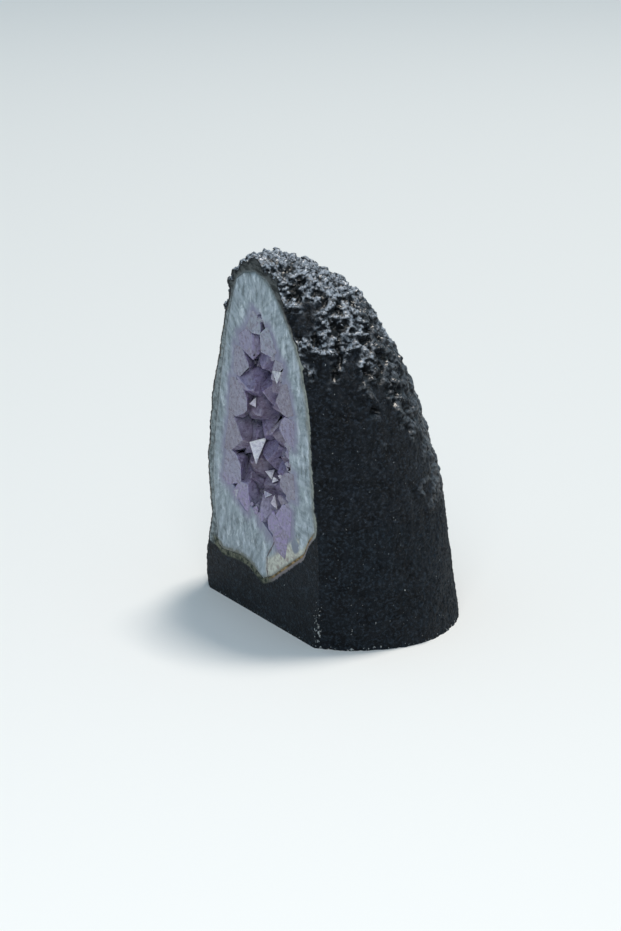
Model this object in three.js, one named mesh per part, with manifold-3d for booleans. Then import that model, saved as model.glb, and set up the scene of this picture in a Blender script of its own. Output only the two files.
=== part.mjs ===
// An amethyst cathedral geode: a hollow rock lined with quartz, sawn flat in front, its crystals
// bare inside, and its pointed lower end set in a cast cement foot. Millimetres, +Z up. The sawn
// face looks along -Y. The origin is the middle of the bounding box, on the surface it stands on.
// Every shape is worked out in the saw's frame, where the sawn face is the plane y = 0 and the
// surface that the foot stands on is z = 0, and the whole group is moved to the origin at the end.
import * as THREE from "three";
import Module from "manifold-3d";
import { ConvexGeometry } from "three/addons/geometries/ConvexGeometry.js";
import { mergeVertices } from "three/addons/utils/BufferGeometryUtils.js";

const wasm = await Module();
wasm.setup();

const GAP = 0.3; // between two pieces that touch on the real object
const RIND = 4; // rock left between the quartz and the cement under it
const LUMP = 1.1; // how far the rock's broad lumps stand in or out
const REACH = 260; // longer than the object in any direction

// Outlines as stations from the bottom up. Each is [height, left edge and right edge in the sawn
// plane, widest width over the width between those edges, depth behind the sawn plane].
const ROCK = [
  [0, -63.5, 64.5, 1.49, 135],
  [3, -65, 67, 1.45, 134.5],
  [20, -66, 69.5, 1.36, 131.5],
  [36, -63.5, 70, 1.33, 129],
  [56, -59.5, 69.5, 1.31, 126.5],
  [82, -62, 68, 1.29, 123],
  [107, -60.5, 63, 1.32, 117.5],
  [132, -58, 61, 1.28, 109],
  [158, -50, 57.5, 1.27, 99],
  [178, -44, 51.5, 1.28, 89],
  [192, -39.5, 45, 1.32, 80],
  [212, -33, 32.5, 1.46, 67],
  [225, -25, 20.5, 1.69, 51],
  [232, -16.5, 10.5, 2.05, 38],
  [236.5, -8, 2.5, 3.2, 28],
];
const ROCK_TOP = new THREE.Vector3(-2, 14, 239);

const QUARTZ = [
  [20, -46, 63.5, 1.05, 36],
  [38, -51, 66, 1.05, 46],
  [56, -54, 66.5, 1.05, 52],
  [78, -56.5, 65, 1.05, 57],
  [98, -55.5, 62, 1.05, 59],
  [124, -51, 59.5, 1.05, 59],
  [142, -47.5, 58, 1.05, 57],
  [158, -44, 55, 1.05, 53],
  [175, -40, 50, 1.05, 48],
  [190, -36, 43.5, 1.05, 42],
  [204, -31.5, 34, 1.05, 34],
  [215, -27, 24.5, 1.06, 26],
  [222, -24, 17.5, 1.06, 20],
  [227, -15.5, 10.5, 1.06, 14],
];
const QUARTZ_TOP = new THREE.Vector3(-3, 0, 230);

const HOLLOW = [
  [58, 20, 28, 1, 3.5],
  [67, 9, 31, 1, 10],
  [76, -20, 33, 1, 16],
  [84, -36, 34.5, 1, 21],
  [102, -34, 37, 1, 25],
  [122, -33.5, 36, 1, 26],
  [141, -29, 37, 1, 25],
  [156, -25.5, 32, 1, 22],
  [168, -23, 28, 1, 18],
  [180, -18, 18, 1, 13],
  [190, -10, 12, 1, 8.5],
  [199, -3, 8, 1, 5],
];
const HOLLOW_TOP = new THREE.Vector3(3, 0, 206);
const HOLLOW_BOTTOM = new THREE.Vector3(24.5, 0, 55);

// The line in the sawn plane, as [x, z], where the broken lower end of the rock meets the cement.
const SEAM = [
  [-110, 36],
  [-63, 34.5],
  [-54, 33.5],
  [-45, 29.5],
  [-24, 32],
  [-12.5, 31],
  [5, 24.5],
  [16, 29.5],
  [29, 39],
  [53, 56],
  [58, 66],
  [69, 78.5],
  [110, 84],
];

const CRYSTALS = 38;
const SINK = 4; // how deep a crystal's root sits in the quartz
const LEAST_EDGE = 0.05; // corners of a crystal nearer than this are one corner
const FACE_TILT = THREE.MathUtils.degToRad(38.2); // of quartz's point faces against its long axis

// The least and the greatest value of what differs from crystal to crystal.
const RADIUS = [9.2, 12.8];
const STALK = [0, 3.5]; // length of the six-sided part below the point
const UNEVEN = [0.06, 0.26]; // how far every second face of a point stands out, over the radius
const LEAN = [-0.25, 0.25]; // of the axis, along each direction, against the wall's normal
const FLATTENED = 0.1; // a crystal is this share wider one way than the other

// Crystals are smaller where the hollow is narrow: at its two sides and towards its top.
const NARROW_FROM = 150;
const NARROW_TO = 200;
const CRAMPED_AT_SIDES = 0.8;
const CRAMPED_SIZE = 0.6;

// Two crystals that grew against each other meet in a flat face between their middles.
const MIDDLE = 0.45; // of a crystal, over its length from its root
const APART = 30; // crystals whose middles are further from each other than this don't meet
const ADVANTAGE = 0.02; // share of the distance that each millimetre of extra radius wins

// Where a crystal may take root: on a grid of heights and turns over the hollow's wall.
const ROOTS = { from: 60, to: 195, step: 3, stray: 2, edge: 0.06, turnStep: 0.09, turnStray: 0.05 };

// A small generator of repeatable random numbers from 0 to 1.
function randomFrom(seed) {
  let state = seed;
  return () => {
    state = (state + 0x6d2b79f5) | 0;
    let t = Math.imul(state ^ (state >>> 15), 1 | state);
    t = (t + Math.imul(t ^ (t >>> 7), 61 | t)) ^ t;
    return ((t ^ (t >>> 14)) >>> 0) / 4294967296;
  };
}

const between = ([low, high], share) => low + (high - low) * share;

// All the values of a station at a height, on a smooth curve through the stations.
function stationAt(stations, height) {
  const last = stations.length - 1;
  let i = stations.findIndex((s) => s[0] >= height);
  i = i < 0 ? last : Math.max(1, i);
  const [before, low, high, after] = [-2, -1, 0, 1].map(
    (step) => stations[THREE.MathUtils.clamp(i + step, 0, last)],
  );
  const span = high[0] - low[0];
  const t = THREE.MathUtils.clamp((height - low[0]) / span, 0, 1);
  const slope = (a, b, k) => (b[0] === a[0] ? 0 : ((b[k] - a[k]) / (b[0] - a[0])) * span);
  return low.map((value, k) => {
    const rise = high[k] - value;
    const start = slope(before, high, k);
    const end = slope(low, after, k);
    return (
      value + t * (start + t * (3 * rise - 2 * start - end + t * (start + end - 2 * rise)))
    );
  });
}

// A point on the outline at a height. The section is an ellipse whose chord in the sawn plane
// runs between the station's two edges; a turn of 0 looks along +X and a quarter along +Y.
function outlinePoint(stations, height, turn, grow = 0) {
  const [, left, right, bulge, depth] = stationAt(stations, height);
  const half = (right - left) / 2;
  const share = Math.sqrt(1 - 1 / bulge ** 2);
  const centre = (share * depth) / (1 + share);
  return new THREE.Vector3(
    (left + right) / 2 + (half * bulge + grow) * Math.cos(turn),
    centre + (depth - centre + grow) * Math.sin(turn),
    height,
  );
}

// A closed surface from rings of points, each end closed to one point.
function skin(rings, bottom, top) {
  const around = rings[0].length;
  const points = [...rings.flat(), bottom, top];
  const [bottomIndex, topIndex] = [points.length - 2, points.length - 1];
  const triangles = [];
  for (let j = 0; j < around; j++) {
    const next = (j + 1) % around;
    triangles.push(bottomIndex, next, j);
    for (let i = 0; i + 1 < rings.length; i++) {
      const low = i * around;
      const high = low + around;
      triangles.push(low + j, low + next, high + next, low + j, high + next, high + j);
    }
    const rim = (rings.length - 1) * around;
    triangles.push(rim + j, rim + next, topIndex);
  }
  return new THREE.BufferGeometry().setFromPoints(points).setIndex(triangles);
}

// The closed surface of an outline: rows lie closer together towards the top as ease grows.
function outlineSkin(stations, top, { rows, around, ease = 1, grow = 0, bottom }) {
  const low = stations[0][0];
  const high = stations.at(-1)[0];
  const rings = Array.from({ length: rows }, (_, i) => {
    const height = high - (high - low) * (1 - i / (rows - 1)) ** ease;
    return Array.from({ length: around }, (_, j) =>
      outlinePoint(stations, height, (2 * Math.PI * j) / around, grow),
    );
  });
  const middle = rings[0]
    .reduce((sum, p) => sum.add(p), new THREE.Vector3())
    .divideScalar(around);
  return skin(rings, bottom ?? middle, top);
}

// Broad, repeatable lumps in the rock, from -1 to 1.
function lumps({ x, y, z }) {
  const coarse = Math.sin(x / 13 + 0.7) * Math.sin(y / 11 + 2.1) * Math.sin(z / 12 + 0.4);
  const fine = Math.sin(x / 6.1 + z / 8.3) * Math.sin(y / 5.7 - z / 7.1 + 1.3);
  return 0.65 * coarse + 0.35 * fine;
}

// Moves a surface's points along their normals by the lumps. The flat underside stays flat.
function roughen(geometry) {
  geometry.computeVertexNormals();
  const { position, normal } = geometry.attributes;
  const point = new THREE.Vector3();
  const out = new THREE.Vector3();
  for (let i = 0; i < position.count; i++) {
    point.fromBufferAttribute(position, i);
    out.fromBufferAttribute(normal, i);
    const share = THREE.MathUtils.smoothstep(point.z, 0, 12);
    point.addScaledVector(out, LUMP * share * lumps(point));
    position.setXYZ(i, point.x, point.y, Math.max(0, point.z));
  }
  return geometry;
}

// A closed geometry as a solid that can be joined and cut, and the largest body of a solid as a
// geometry.
function toSolid(geometry) {
  const bare = geometry.clone();
  bare.deleteAttribute("normal");
  bare.deleteAttribute("uv");
  const merged = mergeVertices(bare, 1e-4);
  return new wasm.Manifold(
    new wasm.Mesh({
      numProp: 3,
      vertProperties: merged.attributes.position.array,
      triVerts: new Uint32Array(merged.index.array),
    }),
  );
}

function toGeometry(solid) {
  const bodies = solid.decompose().sort((a, b) => b.volume() - a.volume());
  const mesh = bodies[0].getMesh();
  return new THREE.BufferGeometry()
    .setAttribute("position", new THREE.BufferAttribute(mesh.vertProperties, 3))
    .setIndex(new THREE.BufferAttribute(mesh.triVerts, 1));
}

// Everything in front of the sawn plane.
function sawWaste() {
  const block = new THREE.BoxGeometry(2 * REACH, REACH, 3 * REACH);
  return toSolid(block.translate(0, -REACH / 2, 0));
}

// Everything below the seam, raised by a distance.
function belowSeam(raise) {
  const shape = new THREE.Shape();
  shape.moveTo(-REACH, -REACH);
  shape.lineTo(REACH, -REACH);
  shape.lineTo(REACH, SEAM.at(-1)[1] + raise);
  for (const [x, z] of [...SEAM].reverse()) shape.lineTo(x, z + raise);
  shape.lineTo(-REACH, SEAM[0][1] + raise);
  const block = new THREE.ExtrudeGeometry(shape, { depth: 2 * REACH, bevelEnabled: false });
  return toSolid(block.rotateX(Math.PI / 2).translate(0, REACH, 0));
}

function wholeRock() {
  const size = { rows: 27, around: 46, ease: 1.25 };
  return toSolid(roughen(outlineSkin(ROCK, ROCK_TOP, size))).subtract(sawWaste());
}

function quartzBlock(grow) {
  const size = { rows: 18, around: 34, ease: 1.3, grow };
  const top = QUARTZ_TOP.clone().setZ(QUARTZ_TOP.z + grow);
  return toSolid(outlineSkin(QUARTZ, top, size)).subtract(belowSeam(RIND - grow));
}

function hollowBlock() {
  const size = { rows: 12, around: 30, bottom: HOLLOW_BOTTOM };
  return toSolid(outlineSkin(HOLLOW, HOLLOW_TOP, size));
}

// Points spread over the hollow's wall, each next one as far as it can be from those before it.
function roots() {
  const random = randomFrom(7);
  const candidates = [];
  for (let height = ROOTS.from; height <= ROOTS.to; height += ROOTS.step) {
    for (let turn = ROOTS.edge; turn <= Math.PI - ROOTS.edge; turn += ROOTS.turnStep) {
      candidates.push([height + ROOTS.stray * random(), turn + ROOTS.turnStray * random()]);
    }
  }
  const places = candidates.map(([height, turn]) => ({
    height,
    turn,
    point: outlinePoint(HOLLOW, height, turn),
    nearest: Infinity,
  }));
  const chosen = [places[0]];
  while (chosen.length < CRYSTALS) {
    const newest = chosen.at(-1).point;
    for (const place of places) {
      place.nearest = Math.min(place.nearest, place.point.distanceTo(newest));
    }
    chosen.push(places.reduce((best, place) => (place.nearest > best.nearest ? place : best)));
  }
  return chosen;
}

// One crystal's size and stance: it grows from its root away from the wall, a little askew.
function crystalPlan({ height, turn, point }, random) {
  const along = outlinePoint(HOLLOW, height, turn + 0.02).sub(point);
  const up = outlinePoint(HOLLOW, height + 1, turn).sub(point);
  const axis = new THREE.Vector3().crossVectors(up, along).normalize();
  const lean = () => between(LEAN, random());
  axis.add(new THREE.Vector3(lean(), lean(), lean())).normalize();
  const side = new THREE.Vector3(0, 0, 1).cross(axis).normalize();
  side.applyAxisAngle(axis, random() * Math.PI);
  const narrow = THREE.MathUtils.smoothstep(height, NARROW_FROM, NARROW_TO);
  const cramped = Math.max(narrow, CRAMPED_AT_SIDES * Math.cos(turn), 0);
  const scale = 1 - (1 - CRAMPED_SIZE) * cramped;
  const radius = between(RADIUS, random()) * scale;
  return {
    root: point,
    axis,
    side,
    other: new THREE.Vector3().crossVectors(axis, side),
    radius,
    length: radius / Math.tan(FACE_TILT) + between(STALK, random()) * scale,
    uneven: between(UNEVEN, random()) * radius,
  };
}

const middleOf = (plan) => plan.root.clone().addScaledVector(plan.axis, MIDDLE * plan.length);

// A crystal's faces as planes: six sides, three large and three small faces of its point, its
// root, the saw's cut, and one between it and each neighbour that it has grown against.
function crystalFaces(plan, plans, grow) {
  const faces = [];
  const face = (normal, distance) => {
    faces.push({ normal, offset: normal.dot(plan.root) + distance + grow });
  };
  for (let i = 0; i < 6; i++) {
    const turn = (i * Math.PI) / 3;
    const out = plan.side.clone().multiplyScalar(Math.cos(turn));
    out.addScaledVector(plan.other, Math.sin(turn));
    face(out, plan.radius * (1 + FLATTENED * Math.cos(2 * turn)));
    const point = out.clone().multiplyScalar(Math.cos(FACE_TILT));
    point.addScaledVector(plan.axis, Math.sin(FACE_TILT)).normalize();
    face(point, plan.length * Math.sin(FACE_TILT) + (i % 2 ? plan.uneven : 0));
  }
  face(plan.axis.clone().negate(), SINK);
  const centre = middleOf(plan);
  for (const neighbour of plans) {
    const apart = middleOf(neighbour).sub(centre);
    const distance = apart.length();
    if (neighbour === plan || distance > APART) continue;
    const normal = apart.divideScalar(distance);
    const own = distance * (0.5 + ADVANTAGE * (plan.radius - neighbour.radius));
    faces.push({ normal, offset: normal.dot(centre) + own - GAP / 2 + grow });
  }
  faces.push({ normal: new THREE.Vector3(0, -1, 0), offset: grow ? 1 : 0 });
  return faces;
}

// The closed convex geometry that lies behind every one of a list of planes.
function behindPlanes(planes) {
  const corners = [];
  const eachTriple = (visit) => {
    planes.forEach((a, i) =>
      planes.slice(i + 1).forEach((b, j) => {
        const line = new THREE.Vector3().crossVectors(a.normal, b.normal);
        planes.slice(i + j + 2).forEach((c) => visit(a, b, c, line));
      }),
    );
  };
  eachTriple((a, b, c, line) => {
    const volume = line.dot(c.normal);
    if (Math.abs(volume) < 1e-6) return;
    const corner = line.clone().multiplyScalar(c.offset);
    corner.addScaledVector(new THREE.Vector3().crossVectors(b.normal, c.normal), a.offset);
    corner.addScaledVector(new THREE.Vector3().crossVectors(c.normal, a.normal), b.offset);
    corner.divideScalar(volume);
    const inside = planes.every((p) => p.normal.dot(corner) < p.offset + 1e-6);
    if (inside && !corners.some((p) => p.distanceTo(corner) < LEAST_EDGE)) corners.push(corner);
  });
  return new ConvexGeometry(corners);
}

const stone = (name, color, roughness) =>
  new THREE.MeshStandardMaterial({ name, color, roughness, metalness: 0 });
const PAINTED_ROCK = stone("painted_rock", 0x20262c, 0.55);
const PAINTED_CEMENT = stone("painted_cement", 0x1d2329, 0.7);
const PALE_QUARTZ = stone("pale_quartz", 0xa9b7c0, 0.25);
const AMETHYST = stone("amethyst", 0x6b5c82, 0.15);

const geode = new THREE.Group();
function piece(name, geometry, material) {
  const mesh = new THREE.Mesh(geometry, material);
  mesh.name = name;
  geode.add(mesh);
}

const rock = wholeRock();
const random = randomFrom(21);
const plans = roots().map((place) => crystalPlan(place, random));
const sockets = plans.map((plan) => toSolid(behindPlanes(crystalFaces(plan, plans, GAP))));

piece("cement_foot", toGeometry(rock.intersect(belowSeam(-GAP / 2))), PAINTED_CEMENT);
piece(
  "rock_shell",
  toGeometry(rock.subtract(belowSeam(GAP / 2)).subtract(quartzBlock(GAP))),
  PAINTED_ROCK,
);
piece(
  "quartz_lining",
  toGeometry(
    sockets.reduce(
      (lining, socket) => lining.subtract(socket),
      quartzBlock(0).subtract(sawWaste()).subtract(hollowBlock()),
    ),
  ),
  PALE_QUARTZ,
);
plans.forEach((plan, i) => {
  const number = String(i + 1).padStart(2, "0");
  piece(`amethyst_point_${number}`, behindPlanes(crystalFaces(plan, plans, 0)), AMETHYST);
});

// The origin is the middle of the bounding box, at its underside.
const box = new THREE.Box3().setFromObject(geode, true);
const middle = box.getCenter(new THREE.Vector3());
geode.position.set(-middle.x, -middle.y, -box.min.z);

export default geode;
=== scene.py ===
# %% [markdown]
# # A cathedral geode of amethyst
#
# The geode is a hollow rock, sawn in half from top to bottom so that it stands like a chapel
# with its front open. Around the hollow there is pale quartz, and amethyst grew inwards from it.
# Its broken lower end is set in a foot of cast cement, and the rock's outside and the foot are
# painted black.
#
# The solids that fix its size are loaded first. Nothing in this file moves or resizes them: each
# new piece is made on top of one, in metres, with +Z up and the sawn face looking along -Y.

# %% Load the solids and note their box
import math
import random
from collections import Counter

import bpy
import numpy as np
from mathutils import Matrix, Vector, noise
from mathutils.bvhtree import BVHTree
from mathutils.kdtree import KDTree


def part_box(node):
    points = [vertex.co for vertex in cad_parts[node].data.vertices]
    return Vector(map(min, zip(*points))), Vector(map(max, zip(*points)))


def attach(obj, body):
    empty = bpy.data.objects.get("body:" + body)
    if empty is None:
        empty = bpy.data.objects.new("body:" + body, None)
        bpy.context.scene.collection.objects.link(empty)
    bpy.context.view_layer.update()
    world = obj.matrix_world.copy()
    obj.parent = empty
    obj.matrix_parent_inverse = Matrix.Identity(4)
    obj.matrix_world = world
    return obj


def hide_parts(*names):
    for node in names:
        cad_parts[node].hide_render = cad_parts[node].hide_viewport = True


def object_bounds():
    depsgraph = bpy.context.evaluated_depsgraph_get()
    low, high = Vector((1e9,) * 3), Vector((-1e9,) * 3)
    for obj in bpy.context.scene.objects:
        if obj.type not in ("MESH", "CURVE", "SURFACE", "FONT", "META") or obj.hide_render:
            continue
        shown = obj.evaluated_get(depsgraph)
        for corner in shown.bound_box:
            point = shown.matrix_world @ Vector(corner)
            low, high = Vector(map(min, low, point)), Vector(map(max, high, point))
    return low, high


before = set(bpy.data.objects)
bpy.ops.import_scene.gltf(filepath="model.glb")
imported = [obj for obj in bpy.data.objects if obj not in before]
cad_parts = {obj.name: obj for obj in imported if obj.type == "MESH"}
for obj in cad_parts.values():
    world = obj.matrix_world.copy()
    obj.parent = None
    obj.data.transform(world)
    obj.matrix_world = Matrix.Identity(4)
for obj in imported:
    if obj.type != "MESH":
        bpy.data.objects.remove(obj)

MM = 0.001
CAD_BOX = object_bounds()
LOW, HIGH = CAD_BOX
FACE = LOW.y  # the plane of the sawn face
POINT_NODES = sorted(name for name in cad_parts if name.startswith("amethyst_point"))
print(f"box {[round(side / MM, 1) for side in HIGH - LOW]} mm, {len(POINT_NODES)} points")

# %% [markdown]
# ## Camera, light and floor
#
# The geode stands on a pale sweep of paper and is seen from its right, so that the sawn face is
# narrow and the painted side is broad. A long lens keeps its sides nearly parallel. The light
# comes from a soft box high overhead and a little behind: it draws highlights on the knobs of the
# rock, leaves the sawn face in shade, and throws a short shadow forwards. A weak box in front
# gives a little sheen to whatever leans towards it. Everything else is the glow of a studio, which
# a pale blue world colour stands in for.

# %% Camera
VIEW_AZIMUTH = math.radians(56.45)
VIEW_ELEVATION = math.radians(18)
VIEW_DISTANCE = 1.4
LENS = 85.07  # millimetres, on a sensor 36 mm tall
AIM = Vector((25.6 * MM, FACE + 22.8 * MM, 106.8 * MM))

towards_camera = Vector((
    math.sin(VIEW_AZIMUTH) * math.cos(VIEW_ELEVATION),
    -math.cos(VIEW_AZIMUTH) * math.cos(VIEW_ELEVATION),
    math.sin(VIEW_ELEVATION),
))
bpy.ops.object.camera_add(location=AIM + VIEW_DISTANCE * towards_camera)
camera = bpy.context.object
camera.rotation_euler = towards_camera.to_track_quat("Z", "Y").to_euler()
camera.data.lens = LENS
camera.data.sensor_width = 36
camera.data.clip_start = 0.01
bpy.context.scene.camera = camera
print("camera at", [round(value, 3) for value in camera.location])

# %% Lights and world
def soft_box(name, azimuth, elevation, distance, size, power, colour):
    """A square lamp that looks at the geode. Azimuth 0 is in front of the sawn face."""
    turn, tilt = math.radians(azimuth), math.radians(elevation)
    away = Vector((
        math.sin(turn) * math.cos(tilt), -math.cos(turn) * math.cos(tilt), math.sin(tilt)
    ))
    middle = Vector((0, 0, HIGH.z / 2))
    bpy.ops.object.light_add(type="AREA", location=middle + distance * away)
    lamp = bpy.context.object
    lamp.name = name
    lamp.rotation_euler = away.to_track_quat("Z", "Y").to_euler()
    lamp.data.size = size
    lamp.data.energy = power
    lamp.data.color = colour
    return lamp


soft_box("key", azimuth=187, elevation=74, distance=6.5, size=1.3, power=262, colour=(1, 0.93, 0.85))
soft_box("front", azimuth=52, elevation=42, distance=1.5, size=0.7, power=6.0, colour=(1, 1, 1))

world = bpy.data.worlds.new("pale_studio")
world.use_nodes = True
glow = world.node_tree.nodes["Background"].inputs
glow["Color"].default_value = (0.62, 0.9, 1.1, 1)
glow["Strength"].default_value = 0.345
bpy.context.scene.world = world
bpy.context.scene.view_settings.view_transform = "Standard"

# %% [markdown]
# ## Finishes
#
# Every finish is a small recipe of shader nodes that reads Object coordinates, so a pattern
# stays where it is on the stone from every side. A few short helpers add the nodes and join
# them, so that each recipe below reads from top to bottom.

# %% Helpers for shader nodes
def feed(tree, socket, value):
    """Joins a socket to another node's output, or sets it to a number or a colour."""
    if hasattr(value, "is_output"):
        tree.links.new(value, socket)
    elif isinstance(value, tuple) and len(value) == 3 and socket.type == "RGBA":
        socket.default_value = (*value, 1)
    else:
        socket.default_value = value


def node(tree, kind, **values):
    """Adds a node; a value is set on the socket of that name, or on the node itself."""
    made = tree.nodes.new(kind)
    for key, value in values.items():
        label = key.replace("_", " ")
        socket = made.inputs.get(label) or made.inputs.get(label.title())
        if socket is not None:
            feed(tree, socket, value)
        else:
            setattr(made, key, value)
    return made


def maths(tree, operation, first, second=0.0, clamp=False):
    """One Math node; its inputs are numbers or other nodes' outputs."""
    made = node(tree, "ShaderNodeMath", operation=operation, use_clamp=clamp)
    feed(tree, made.inputs[0], first)
    feed(tree, made.inputs[1], second)
    return made.outputs[0]


def vector_maths(tree, operation, first, second):
    """One Vector Math node; returns its outputs, Vector and Value."""
    made = node(tree, "ShaderNodeVectorMath", operation=operation)
    feed(tree, made.inputs[0], first)
    feed(tree, made.inputs[1], second)
    return made.outputs


def times(tree, *values):
    """The product of some masks."""
    product = values[0]
    for value in values[1:]:
        product = maths(tree, "MULTIPLY", product, value)
    return product


def ramp(tree, value, low, high, out_low=0.0, out_high=1.0):
    """A smooth step of a value, from out_low where it is low to out_high where it is high."""
    made = node(
        tree, "ShaderNodeMapRange", interpolation_type="SMOOTHSTEP", Value=value,
        From_Min=low, From_Max=high, To_Min=out_low, To_Max=out_high,
    )
    return made.outputs["Result"]


def blend(tree, factor, first, second):
    """A colour between two; each is an (r, g, b) or another node's output."""
    made = node(tree, "ShaderNodeMix", data_type="RGBA")
    for index, value in ((0, factor), (6, first), (7, second)):
        feed(tree, made.inputs[index], value)
    return made.outputs[2]


def attribute(tree, name):
    """A mask that each corner or face of the mesh carries under this name."""
    return node(tree, "ShaderNodeAttribute", attribute_name=name).outputs["Fac"]


def cloudy(tree, place, scale, detail=3.0, roughness=0.55, stretch=(1, 1, 1)):
    """Cloudy noise from 0 to 1; scale is how many blotches fit in a metre."""
    mapped = node(tree, "ShaderNodeMapping", Vector=place, Scale=stretch)
    made = node(
        tree, "ShaderNodeTexNoise", Vector=mapped.outputs[0], Scale=scale, Detail=detail,
        Roughness=roughness,
    )
    return made.outputs["Fac"]


def spot(tree, place, x, z, radius):
    """A small round mask on the sawn face, at a place given in millimetres."""
    apart = vector_maths(tree, "DISTANCE", place, (x * MM, FACE, z * MM))["Value"]
    return ramp(tree, apart, radius * MM, 0.6 * radius * MM)


def as_seen(red, green, blue):
    """A colour given as it looks on a screen, from 0 to 255, as the light it stands for."""
    return tuple(
        c / 12.92 if c <= 0.04045 else ((c + 0.055) / 1.055) ** 2.4
        for c in (value / 255 for value in (red, green, blue))
    )


def between(tree, value, low, high, first, second):
    """A colour that turns from one into another as a value goes from low to high."""
    return blend(tree, ramp(tree, value, low, high), as_seen(*first), as_seen(*second))


def layered(tree, colour, *layers):
    """Lays colours over a first one; each layer is a mask and a colour as seen."""
    for mask, seen in layers:
        colour = blend(tree, mask, colour, as_seen(*seen))
    return colour


def swayed(tree, value, other, amount):
    """A value plus a share of another, so that a border along it is ragged or slants."""
    return maths(tree, "ADD", value, times(tree, other, amount))


def set_plain(shader, **values):
    """Sets what is the same all over a surface, on the shader's own sockets."""
    for label, value in values.items():
        shader[label.replace("_", " ")].default_value = value


def roughen(tree, shader, height, strength, distance):
    """Fine relief from a pattern; distance is in millimetres."""
    bump = node(tree, "ShaderNodeBump", Height=height, Strength=strength, Distance=distance * MM)
    feed(tree, shader["Normal"], bump.outputs[0])


def new_finish(name):
    """A material with only its Principled shader; returns it, its tree, the shader and place."""
    material = bpy.data.materials.new(name)
    material.use_nodes = True
    tree = material.node_tree
    place = node(tree, "ShaderNodeTexCoord").outputs["Object"]
    return material, tree, tree.nodes["Principled BSDF"].inputs, place


print("helpers for finishes are ready")

# %% [markdown]
# Two effects come back in more than one finish. Every stone here has a grain: soft patches, with
# fine grains over them. And wherever paint or cement covers something, it has chips knocked out
# of it. Each effect is a node group, built once, with its own sockets for what differs.

# %% Node groups for grain and for chips
def new_group(name, inputs, outputs):
    """An empty node group with named sockets; returns its tree, its inputs and its outputs."""
    tree = bpy.data.node_groups.new(name, "ShaderNodeTree")
    for label, kind, value in inputs:
        socket = tree.interface.new_socket(label, in_out="INPUT", socket_type=kind)
        if value is not None:
            socket.default_value = value
    for label, kind in outputs:
        tree.interface.new_socket(label, in_out="OUTPUT", socket_type=kind)
    return tree, tree.nodes.new("NodeGroupInput").outputs, tree.nodes.new("NodeGroupOutput").inputs


def use_group(tree, group, **values):
    """Places a node group in a material, with its own values."""
    made = node(tree, "ShaderNodeGroup", node_tree=group)
    for label, value in values.items():
        feed(tree, made.inputs[label.replace("_", " ")], value)
    return made.outputs


GRAIN, given, result = new_group(
    "stone_grain",
    [("Place", "NodeSocketVector", None), ("Patch Scale", "NodeSocketFloat", 90.0),
     ("Grain Scale", "NodeSocketFloat", 900.0), ("Grain Share", "NodeSocketFloat", 0.5)],
    [("Patches", "NodeSocketFloat"), ("Grains", "NodeSocketFloat"), ("Height", "NodeSocketFloat")],
)
patches = cloudy(GRAIN, given["Place"], given["Patch Scale"])
grains = cloudy(GRAIN, given["Place"], given["Grain Scale"], detail=4)
height = node(GRAIN, "ShaderNodeMix", Factor=given["Grain Share"], A=patches, B=grains)
feed(GRAIN, result["Patches"], patches)
feed(GRAIN, result["Grains"], grains)
feed(GRAIN, result["Height"], height.outputs["Result"])

NO_CHIPS = 0.82  # noise hardly ever rises above this, so hardly anything chips
MANY_CHIPS = 0.35  # how much lower the limit is where the amount is 1
CHIP_EDGE = 14.0  # sharpness

CHIPS, given, result = new_group(
    "chips",
    [("Place", "NodeSocketVector", None), ("Scale", "NodeSocketFloat", 300.0),
     ("Amount", "NodeSocketFloat", 0.2)],
    [("Mask", "NodeSocketFloat")],
)
flakes = cloudy(CHIPS, given["Place"], given["Scale"], detail=2)
needed = maths(CHIPS, "SUBTRACT", NO_CHIPS, times(CHIPS, given["Amount"], MANY_CHIPS))
above = maths(CHIPS, "SUBTRACT", flakes, needed)
feed(CHIPS, result["Mask"], maths(CHIPS, "MULTIPLY", above, CHIP_EDGE, clamp=True))
print("groups:", [group.name for group in bpy.data.node_groups])

# %% Floor
floor_finish, tree, shader, place = new_finish("pale_paper")
set_plain(shader, Roughness=0.9, Specular_IOR_Level=0.1, Base_Color=(*as_seen(244, 244, 243), 1))

bpy.ops.mesh.primitive_plane_add(size=16, location=(0, 0, 0))
floor = bpy.context.object
floor.name = "paper_floor"
floor.data.materials.append(floor_finish)
print("floor is 16 m wide")

# %% [markdown]
# ## Helpers for shaping
#
# A CAD node's mesh is loose triangles. To work on a shape, its triangles are copied into a new
# object and the doubled corners are merged. Modifiers are applied as soon as they are added, so
# that what is seen is what is there.

# %% Helpers for meshes
def leave_edit():
    bpy.ops.object.mode_set(mode="OBJECT")


def apply_place():
    bpy.ops.object.transform_apply(location=True, rotation=True, scale=True)


def deselect_all():
    if bpy.context.object and bpy.context.object.mode != "OBJECT":
        leave_edit()
    bpy.ops.object.select_all(action="DESELECT")


def make_active(thing):
    deselect_all()
    thing.select_set(True)
    bpy.context.view_layer.objects.active = thing


def pick_faces(thing, wanted):
    """Opens a thing in edit mode with the faces that a test picks out selected."""
    make_active(thing)
    bpy.ops.object.mode_set(mode="EDIT")
    bpy.ops.mesh.select_mode(type="FACE")
    bpy.ops.mesh.select_all(action="DESELECT")
    leave_edit()
    for face in thing.data.polygons:
        face.select = wanted(face)
    bpy.ops.object.mode_set(mode="EDIT")


def pick_all(thing):
    make_active(thing)
    bpy.ops.object.mode_set(mode="EDIT")
    bpy.ops.mesh.select_all(action="SELECT")


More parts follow.
